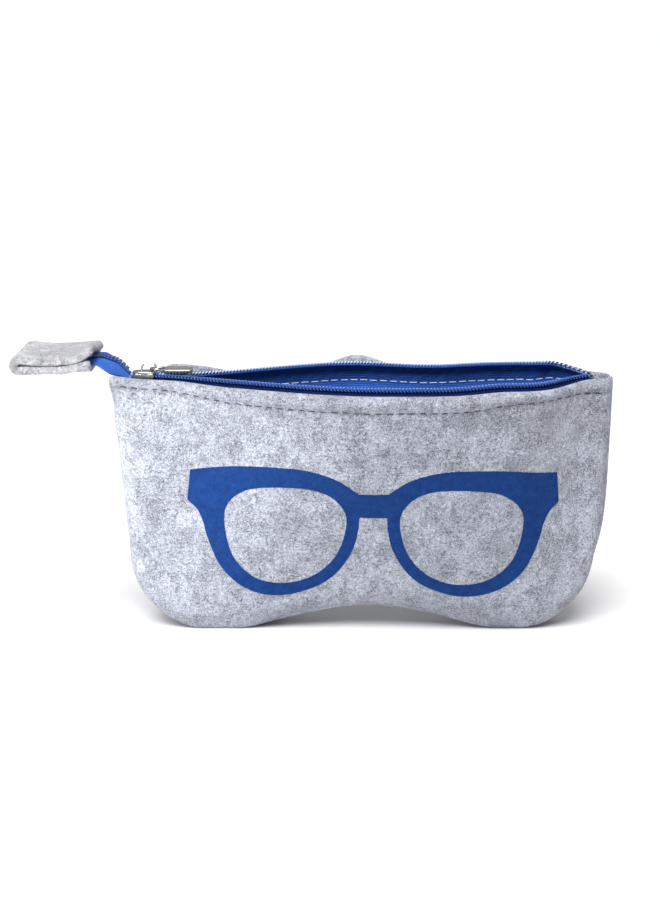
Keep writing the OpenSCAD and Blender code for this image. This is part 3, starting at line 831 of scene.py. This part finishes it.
def coil(lip, name):
    turns = int((ZIP_TO - ZIP_FROM - 1.5) / PITCH)
    along, down, out, thick = loops_path(turns)
    x = ZIP_FROM + 0.6 + along
    y, z = on_band(lip, x, down, out)
    points, faces = tube(np.stack([x, lip.side * y, z], -1), thick, 7)
    place = np.stack([np.repeat(x, 7), np.repeat(down, 7), np.zeros(7 * len(x))], -1)
    return build(name, points, faces, nylon, np.repeat(open_at(lip, x), 7), place)


def coil_cord(lip, name):
    x = np.linspace(ZIP_FROM + 0.3, ZIP_TO - 0.3, 500)
    y, z = on_band(lip, x, COIL_W / 2 + 0.1, 0)
    points, faces = tube(np.stack([x, lip.side * y, z], -1), 0.42, 8)
    weights = np.repeat(open_at(lip, x), 8)
    return build(name, points, faces, core_thread, weights, round_thread(x, 8))


def chevrons(name, places, start, count, rows, weight):
    """Rows of small V stitches that hold a coil to its tape. Each of places turns x, d and n into points."""
    parts, xs, twist = [], [], []
    t = np.linspace(0, 1, 5)
    n = COIL_T / 2 + 0.03 - 0.16 * (2 * t - 1) ** 4
    for place in places:
        for row in rows:
            for k in range(count):
                for lean_to in (-1, 1):
                    x0 = start + k * PITCH
                    x = x0 + 0.95 * t
                    parts.append(tube(place(x, row + lean_to * 0.34 * (1 - t), n), 0.145, 6))
                    xs.append(np.repeat(x, 6))
                    twist.append(round_thread(x - x0, 6))
    points, faces = join(parts)
    return build(name, points, faces, blue_thread, weight(np.concatenate(xs)), np.vstack(twist))


def coil_stitching(lip, name):
    def place(x, d, n):
        y, z = on_band(lip, x, d, n)
        return np.stack([x, lip.side * y, z], -1)

    count = int((ZIP_TO - ZIP_FROM - 3) / PITCH)
    return chevrons(name, [place], ZIP_FROM + 1.2, count, (1.25, 1.95), lambda x: open_at(lip, x))


for lip, side, body in ((FRONT, "front", "front_lip"), (BACK, "back", "back_lip")):
    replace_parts(blend_by(tape(lip, "zip_tape_" + side)), side + "_tape")
    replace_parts(blend_by(coil(lip, "zip_coil_" + side)), side + "_coil")
    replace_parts(blend_by(coil_cord(lip, "zip_cord_" + side)), side + "_coil_cord")
    blend_by(coil_stitching(lip, "zip_stitching_" + side))


# ---- the zip's closed end outside the pouch ----
def tail_z(x):
    t = clamp((-87 - x) / 14)
    rise = mix(ZIP_Z - 1.6, TAB_Z, 0.35 * smooth(t) + 0.65 * t * (2 - t))
    return rise + 0.3 * bell(x, -98.6, 3.2) + tail_arch(x)


def tail_arch(x):
    return 1.3 * bell(x, -92.6, 3.4)


def tail_half(x):
    """Half the tail's width: narrow at the corner, spread out between, and narrower in the tab."""
    return mix(mix(3.7, 12.3, smooth((-89 - x) / 9)), 6.6, smooth((-98 - x) / 6))


def tail_weight(x):
    """A share from 0 at the corner to 1 at 8 mm outside it, given to build as the tail's weights."""
    return smooth((-89.5 - x) / 8)


def tail_tape(side, name, node):
    x = np.linspace(-89, -125.5, 120)[:, None]
    t = np.linspace(0, 1, 22)[None, :]
    half = tail_half(x) - 0.2
    y = mix(0.5, half, t)
    droop = (2.5 if side < 0 else 0.9) * bell(x, -94.8, 4.2) + 0.7 * (1 - smooth((-88 - x) / 7)) + tail_arch(x)
    z = tail_z(x) - droop * t**1.5 + TAB_ROLL * side * y * smooth((-96 - x) / 6)
    xx = x + 0 * y
    h = TAPE_T / 2
    upper, lower = [np.stack([xx, side * y, z + up], -1) for up in (h, -h)]
    points, faces = skin(np.hstack([upper, lower[:, ::-1]]), flip=side > 0)
    weave = np.stack([points[:, 0], np.abs(points[:, 1]), 0 * points[:, 0]], -1)
    piece = build(name, points, faces, tail_blue, tail_weight(points[:, 0]), weave)
    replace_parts(blend_by(piece), node)


tail_tape(-1, "tail_tape_front_woven", "tail_tape_front")
tail_tape(1, "tail_tape_back_woven", "tail_tape_back")


def tail_coil():
    parts, xs = [], []
    for side, phase in ((-1, 0.0), (1, 0.5)):
        along, down, out, thick = loops_path(14, phase)
        x = -88.6 - along
        parts.append(tube(np.stack([x, side * (down - 0.32), tail_z(x) + COIL_OFF + out], -1), thick, 7))
        xs.append(np.repeat(x, 7))
    points, faces = join(parts)
    # This weave value lays part of the coil's painted highlight over the whole tail coil
    place = np.stack([points[:, 0], 0 * points[:, 0] + 0.86, 0 * points[:, 0]], -1)
    return build("tail_coil_closed", points, faces, nylon, tail_weight(np.concatenate(xs)), place)


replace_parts(blend_by(tail_coil()), "tail_coil")


def tail_side(side):
    return lambda x, d, n: np.stack([-x, side * (d - 0.1), tail_z(-x) + COIL_OFF + n], -1)


tail_stitching = chevrons(
    "tail_stitching", [tail_side(-1), tail_side(1)], 89.4, 12, (1.0, 1.9), lambda x: tail_weight(-x)
)
blend_by(tail_stitching)

# ---- the folded felt tab ----
FOLD_R = (TAB_T + 1.3) / 2
FOLD_X = TAB_END + FOLD_R + TAB_T / 2 + 3.6
UPPER_Z = TAB_Z + 0.15 + FOLD_R
TAB_FLICK = 4.4  # how far the upper cut end's front corner turns up
TAB_SEAM = 12.5  # the row of stitches, from each cut end


def tab_line():
    """Middle line of the folded felt, from the upper cut end round the fold to the lower cut end."""
    t = np.linspace(0, 1, 70)
    lift = TAB_FLICK * np.exp(-((t / 0.15) ** 1.6)) - 0.45 * bell(t, 0.68, 0.24)
    upper = np.stack([mix(TAB_X + 0.9, FOLD_X, t), UPPER_Z + lift], -1)
    a = np.radians(np.linspace(96, 264, 26))
    fold = np.stack([FOLD_X + FOLD_R * np.cos(a), TAB_Z + 0.15 + FOLD_R * np.sin(a)], -1)
    lower = np.stack([mix(FOLD_X, TAB_X, t[1:]), TAB_Z + 0.15 - FOLD_R + 0 * t[1:]], -1)
    return np.vstack([upper, fold, lower])


def tab_rise(s, long, y):
    """How much higher the felt lies at s along it and y across it than its middle line."""
    middle = np.abs(s - long / 2)
    side_by = smooth((np.abs(y) - 7) / 5)
    # Beyond the tape the two layers close on each other, and the lower one's corners turn up
    layer = np.where(s < long / 2, 1.0, -1.0)
    shut = -0.42 * side_by * layer * smooth(middle / 9) * mix(0.35, 1, smooth(middle / 30))
    turned = 1.9 * side_by * smooth((s - long + 13) / 13) ** 1.5
    # The upper cut end turns up most at its front corner
    near_end = np.exp(-((s / (0.15 * 0.46 * long)) ** 1.6))
    level = 0.80 * TAB_FLICK * near_end * smooth((y + TAB_W / 2) / TAB_W * 1.15)
    return shut + turned + TAB_ROLL * y - level


def end_tab():
    line = tab_line()
    step = unit(np.gradient(line, axis=0))
    normal = np.stack([-step[:, 1], step[:, 0]], -1)
    s = np.concatenate([[0], np.cumsum(np.linalg.norm(np.diff(line, axis=0), axis=1))])
    from_end = np.minimum(s, s[-1] - s)
    even = np.linspace(-1, 1, 64)
    ys = np.sign(even) * (1 - (1 - np.abs(even)) ** 1.3) * TAB_W / 2
    sections = []
    for y in ys:
        edge = TAB_W / 2 - abs(y)
        # The cut edges are a little rounded, and the corners in plan as well
        half = TAB_T / 2 * np.clip(round_in(edge / 0.5) * round_in(from_end / 0.5), 0.25, 1)
        bumpy = 0.10 * np.sin(s / 1.9 + y / 2.3) + 0.08 * np.sin(s / 3.1 - y / 1.7 + 1)
        pulled = 0.75 + 0.25 * np.cos(2 * np.pi * (y + TAB_W / 2 - 3.3) / STITCH_PITCH)
        stitch = -0.45 * bell(from_end, TAB_SEAM, 0.9) * pulled
        mid = line + np.stack([0 * s, tab_rise(s, s[-1], y)], -1)
        outer = mid + normal * (half + bumpy * 0.5 + stitch)[:, None]
        inner = mid - normal * (half + bumpy * 0.3)[:, None]
        ring = np.vstack([outer, inner[::-1]])
        round_end = 1.2 * (1 - round_in(edge / 1.6))
        near = np.concatenate([from_end, from_end[::-1]])
        ring[:, 0] -= round_end * (1 - smooth(near / 3))
        sections.append(np.stack([ring[:, 0], np.full(len(ring), y), ring[:, 1]], -1))
    points, faces = skin(np.array(sections), flip=True)
    piece = build("tab_felt", points, faces, tab_felt)
    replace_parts(piece, "end_tab")
    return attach(piece, "tab"), line, normal, s


tab_piece, TAB_LINE, TAB_NORMAL, TAB_S = end_tab()


def tab_fuzz():
    """Fibre ends along the tab's cut edges and faces."""
    count = 9000
    k = rng.integers(0, len(TAB_LINE), count)
    across = rng.uniform(-1, 1, count) * TAB_W / 2
    at_edge = rng.uniform(0, 1, count) < 0.45
    y = np.where(at_edge, np.sign(across) * (TAB_W / 2 - 0.05), across)
    through = np.where(at_edge, rng.uniform(-1, 1, count), np.sign(rng.uniform(-1, 1, count)))
    p, n = TAB_LINE[k], TAB_NORMAL[k]
    face = p + n * (through * TAB_T / 2)[:, None]
    root = np.stack([face[:, 0], y, face[:, 1] + tab_rise(TAB_S[k], TAB_S[-1], y)], -1)
    out = np.stack([n[:, 0] * through, np.zeros(count), n[:, 1] * through], -1)
    out = np.where(at_edge[:, None], np.stack([0 * y, np.sign(y), 0 * y], -1), out)
    made = fibre_ends("tab_fuzz", root, out, 0.1, (0.4, 1.3), (0.3, 0.95), (0.02, 0.034), 0.85, 0,
                      tab_felt)
    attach(made, "tab")


tab_fuzz()


def tab_stitches():
    parts, twist = [], []
    t = np.linspace(0, 1, 9)
    for where in (TAB_SEAM, TAB_S[-1] - TAB_SEAM):
        k = int(np.argmin(np.abs(TAB_S - where)))
        for y0 in np.arange(-TAB_W / 2 + 2, TAB_W / 2 - 3.5, STITCH_PITCH):
            out = TAB_T / 2 - 0.30 - 0.5 * (2 * t - 1) ** 4
            spot = TAB_LINE[k] + TAB_NORMAL[k] * out[:, None]
            y = y0 + STITCH_L * t
            z = spot[:, 1] + tab_rise(TAB_S[k], TAB_S[-1], y)
            parts.append(tube(np.stack([spot[:, 0], y, z], -1), 0.27, 8))
            twist.append(round_thread(STITCH_L * t, 8))
    points, faces = join(parts)
    piece = build("tab_stitches", points, faces, grey_thread, None, np.vstack(twist))
    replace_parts(piece, "end_tab_thread")
    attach(piece, "tab")


tab_stitches()

# ---- slider and puller ----
PLATE_T, CHANNEL_TOP, FLANGE_LOW, BOTTOM_TOP = 1.0, 0.75, -0.95, -3.15
SLIDER_L, SLIDER_W = 9.6, 8.2


def slider_half(x, wide, narrow):
    """Half the slider's width: broad shoulders at the open end, and narrow at the other."""
    return mix(narrow / 2, wide / 2, smooth((x / SLIDER_L + 0.5) * 1.15))


def plate(wide, narrow, z0, z1, bevel, dome=0.0):
    """A slider plate with rounded rims, and a low dome on top."""
    x = SLIDER_L / 2 * squarish(np.cos(circle(96)), 0.62)
    y = slider_half(x, wide, narrow) * squarish(np.sin(circle(96)), 0.55)
    angle = np.linspace(0, np.pi / 2, 6)
    lower = [(bevel * (1 - np.sin(a)), z0 + bevel * (1 - np.cos(a))) for a in angle]
    upper = [(bevel * (1 - np.cos(a)), z1 - bevel * (1 - np.sin(a))) for a in angle]
    scaled = [(1 - inset / (SLIDER_L / 2), 1 - inset / (wide / 2), z) for inset, z in lower + upper]
    for k in (0.8, 0.55, 0.3, 0.08):
        scaled.append(((1 - bevel / (wide / 2)) * k, (1 - bevel / (wide / 2)) * k, z1 + dome * (1 - k * k)))
    return skin(np.array([np.stack([x * kx, y * ky, np.full_like(x, z)], -1) for kx, ky, z in scaled]))


def post(outline, z0, z1, bevel):
    """The slider's divider: a small upright block with softened top and bottom edges."""
    from_middle = np.array(outline) - np.mean(outline, 0)
    size = np.linalg.norm(from_middle, axis=1, keepdims=True)
    rings = []
    for inset, z in ((bevel, z0), (0, z0 + bevel), (0, z1 - bevel), (bevel, z1)):
        rings.append(np.c_[np.mean(outline, 0) + from_middle * (1 - inset / size), np.full(len(outline), z)])
    return skin(np.array(rings))


def at_slider(points):
    return np.asarray(points) + [SLIDER_X, 0, ZIP_Z]


def slider_body():
    parts = [plate(SLIDER_W, SLIDER_W - 1.5, CHANNEL_TOP, DECK, 0.38, 0.12)]
    parts.append(plate(5.2, 4.4, BOTTOM_TOP - PLATE_T, BOTTOM_TOP, 0.3))
    xs = np.linspace(-SLIDER_L / 2 + 0.9, SLIDER_L / 2 - 1.0, 26)
    for side in (-1, 1):
        half = slider_half(xs, SLIDER_W, SLIDER_W - 1.5) - 0.36
        a = circle(20)
        mid, tall = (CHANNEL_TOP + 0.2 + FLANGE_LOW) / 2, (CHANNEL_TOP + 0.2 - FLANGE_LOW) / 2
        ring_y = 0.30 * squarish(np.cos(a), 0.5)
        ring_z = tall * squarish(np.sin(a), 0.5)
        ends = round_in(np.minimum(xs - xs[0], xs[-1] - xs) / 0.5).clip(0.35, 1)[:, None]
        y = side * half[:, None] + ring_y
        rings = np.stack([xs[:, None] + 0 * y, y, mid + ring_z * ends], -1)
        parts.append(skin(rings, flip=True))
    plan = [(2.6, 0.04), (4.5, -0.04), (4.68, 0.0), (4.68, 0.16), (4.5, 0.2), (2.6, 0.12)]
    parts.append(post(plan, BOTTOM_TOP - 0.2, CHANNEL_TOP + 0.2, 0.05))
    points, faces = join(parts)
    piece = build("slider_plates", at_slider(points), faces, chrome)
    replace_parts(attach(piece, "slider"), "slider_body")


slider_body()
BRIDGE_X, BRIDGE_TOP, BRIDGE_W = 1.6, 4.9, 1.8


def slider_bridge():
    """The loop over the deck: a rounded strap from foot to foot."""
    a = np.linspace(0, np.pi, 33)
    x = 2.85 * squarish(np.cos(a), 0.62)
    z = DECK + 0.1 + (BRIDGE_TOP - 0.45 - DECK - 0.1) * np.abs(np.sin(a)) ** 0.62
    path = np.stack([x, 0 * x, z], -1)
    step = np.gradient(path, axis=0)
    step /= np.linalg.norm(step, axis=1, keepdims=True) + 1e-9
    normal = np.stack([step[:, 2], 0 * x, -step[:, 0]], -1)
    b = circle(24)
    across = BRIDGE_W / 2 * squarish(np.cos(b), 0.6)
    thick = 0.34 * squarish(np.sin(b), 0.8)
    rings = path[:, None, :] + thick[None, :, None] * normal[:, None, :]
    rings[:, :, 1] += across[None, :] * (1 - 0.18 * np.sin(a) ** 4)[:, None]
    rings[:, :, 0] += BRIDGE_X
    points, faces = skin(rings, flip=True)
    piece = build("slider_loop", at_slider(points), faces, chrome)
    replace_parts(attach(piece, "slider"), "slider_bridge")


slider_bridge()
PIVOT_DX, PULLER_L, PULLER_W, PULLER_T, EYE_L = 2.6, 15.9, 5.0, 1.3, 4.1
PIVOT_Z = DECK + 0.8


def puller():
    """An oval wire eye through the bridge, and a flat tongue with a sunk panel on both faces."""
    a = np.linspace(0, 2 * np.pi, 73)[:-1]
    half_l, half_w = 2.85, 2.45
    x = half_l - 0.25 + half_l * np.cos(a)
    y = half_w * np.sin(a)
    path = np.stack([x, y, 0 * x], -1)
    step = unit(np.roll(path, -1, 0) - np.roll(path, 1, 0))
    out = np.stack([step[:, 1], -step[:, 0], 0 * x], -1)
    b = circle(12)
    rings = path[:, None, :] + 0.55 * (np.cos(b)[None, :, None] * out[:, None, :])
    rings[:, :, 2] += 0.55 * np.sin(b)[None, :]
    n, m = rings.shape[:2]
    i, j = np.meshgrid(np.arange(n), np.arange(m), indexing="ij")
    i_next, j_next = (i + 1) % n, (j + 1) % m
    quads = np.stack([i * m + j, i_next * m + j, i_next * m + j_next, i * m + j_next], -1)
    eye = (rings.reshape(-1, 3), [quads.reshape(-1, 4)])
    c = circle(96)
    mid_x, long = (EYE_L + 0.6 + PULLER_L) / 2, (PULLER_L - EYE_L - 0.6) / 2
    px = mid_x + long * np.sign(np.cos(c)) * np.abs(np.cos(c)) ** np.where(np.cos(c) > 0, 0.45, 0.3)
    py = PULLER_W / 2 * squarish(np.sin(c), 0.4)
    z0, z1 = -0.75, -0.75 + PULLER_T
    rings = []

    def ring(inset, z):
        x, y = mid_x + (px - mid_x) * (1 - inset / long), py * (1 - inset / (PULLER_W / 2))
        rings.append(np.stack([x, y, np.full_like(px, z)], -1))

    # The sunk panel's floor and wall, the flat rim and its rounded outer edge, below and then above
    profile = ((1.9, 0.22), (1.35, 0.22), (1.0, 0), (0.3, 0), (0.09, 0.09), (0, 0.3))
    for inset, deep in profile:
        ring(inset, z0 + deep)
    for inset, deep in profile[::-1]:
        ring(inset, z1 - deep)
    points, faces = join([eye, skin(np.array(rings))])
    # Past the eye the tongue is set a little lower and twisted, with its front edge down
    x, y, z = points.T
    tongue_share = smooth((x - 2.5) / 2.5)
    turn = np.radians(12) * tongue_share
    z = z - 0.3 * tongue_share
    points = np.stack([x, y * np.cos(turn) - z * np.sin(turn), z * np.cos(turn) + y * np.sin(turn)], -1)
    points = at_slider(points + [PIVOT_DX, 0, PIVOT_Z])
    piece = build("puller_plated", points, faces, puller_metal)
    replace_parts(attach(piece, "puller"), "pull_tab")


puller()

# ---- the CAD node that is kept ----
seam_thread = frame["nodes"]["seam_thread"]
seam_thread.data.materials.clear()
seam_thread.data.materials.append(
    thread_material("seam_thread_grey", rgb(0.60, 0.61, 0.64), rgb(0.35, 0.36, 0.40))
)

# ---- floor, light and camera ----
JUST_BELOW = -0.00005  # clear of the pouch's feet
bpy.ops.mesh.primitive_plane_add(size=14, location=(0, 3, JUST_BELOW))
ground = bpy.context.object
ground.name = "floor"
ground.data.materials.append(
    shader("paper_white").surface(Base_Color=rgb(0.72, 0.72, 0.725), Roughness=0.9, Specular_IOR_Level=0.1)
)


def studio_world():
    """White to the camera. As light it is brighter above and from the left, and dimmer low down in front."""
    world = bpy.data.worlds.new("studio")
    bpy.context.scene.world = world
    s = Shader(world, "Background")
    x, y, z = s.add("SeparateXYZ", {0: s.add("TexCoord")["Generated"]})
    light = s.math("ADD", s.ramp(z, -0.1, 0.9, 0.05, 0.44), s.ramp(x, -0.9, 0.9, 0.24, 0.17))
    light = s.math("ADD", light, s.ramp(y, -0.9, 0.9, 0.04, -0.08))
    seen = s.add("LightPath")["Is Camera Ray"]
    strength = s.add("Mix", {"Factor": seen, "A": light, "B": 1.02})["Result"]
    s.fill(s.last, {"Color": rgb(1.0, 1.0, 1.0), "Strength": strength})


studio_world()


def add_object(name, data, towards, axis):
    """Puts a light or camera in the scene, with its own axis turned towards a direction."""
    made = bpy.data.objects.new(name, data)
    bpy.context.scene.collection.objects.link(made)
    made.rotation_mode = "QUATERNION"
    made.rotation_quaternion = towards.to_track_quat(axis, "Y")
    return made


def in_pouch(x, y, z):
    """A place in metres, from millimetres in the pouch's coordinates."""
    return Vector((POUCH_X / 1000 + x / 1000, y / 1000, z / 1000))


# A very wide soft light from above the camera, and a small one near the object's left side
key = bpy.data.lights.new("key", "SUN")
key.energy, key.angle = 4.4, math.radians(38)
add_object("key", key, Vector((-0.14, -0.46, 0.877)), "Z")
fill = bpy.data.lights.new("left", "AREA")
fill.shape, fill.size, fill.energy, fill.spread = "SQUARE", 0.09, 0.085, math.radians(80)
fill_place = in_pouch(-185, -75, 35)
softbox = add_object("left", fill, fill_place - in_pouch(-80, -12, 60), "Z")
softbox.location = fill_place
softbox.visible_camera = False

camera = bpy.data.cameras.new("camera")
camera.sensor_width, camera.lens = 36.0, 51.08
camera.clip_start, camera.clip_end = 0.01, 60
ELEVATION, DISTANCE = math.radians(12), 0.5
back = Vector((0, -math.cos(ELEVATION), math.sin(ELEVATION)))
viewer = add_object("camera", camera, -back, "-Z")
viewer.location = in_pouch(-11.6, 0, 71) + back * DISTANCE
bpy.context.scene.camera = viewer
bpy.context.scene.view_settings.view_transform = "Standard"
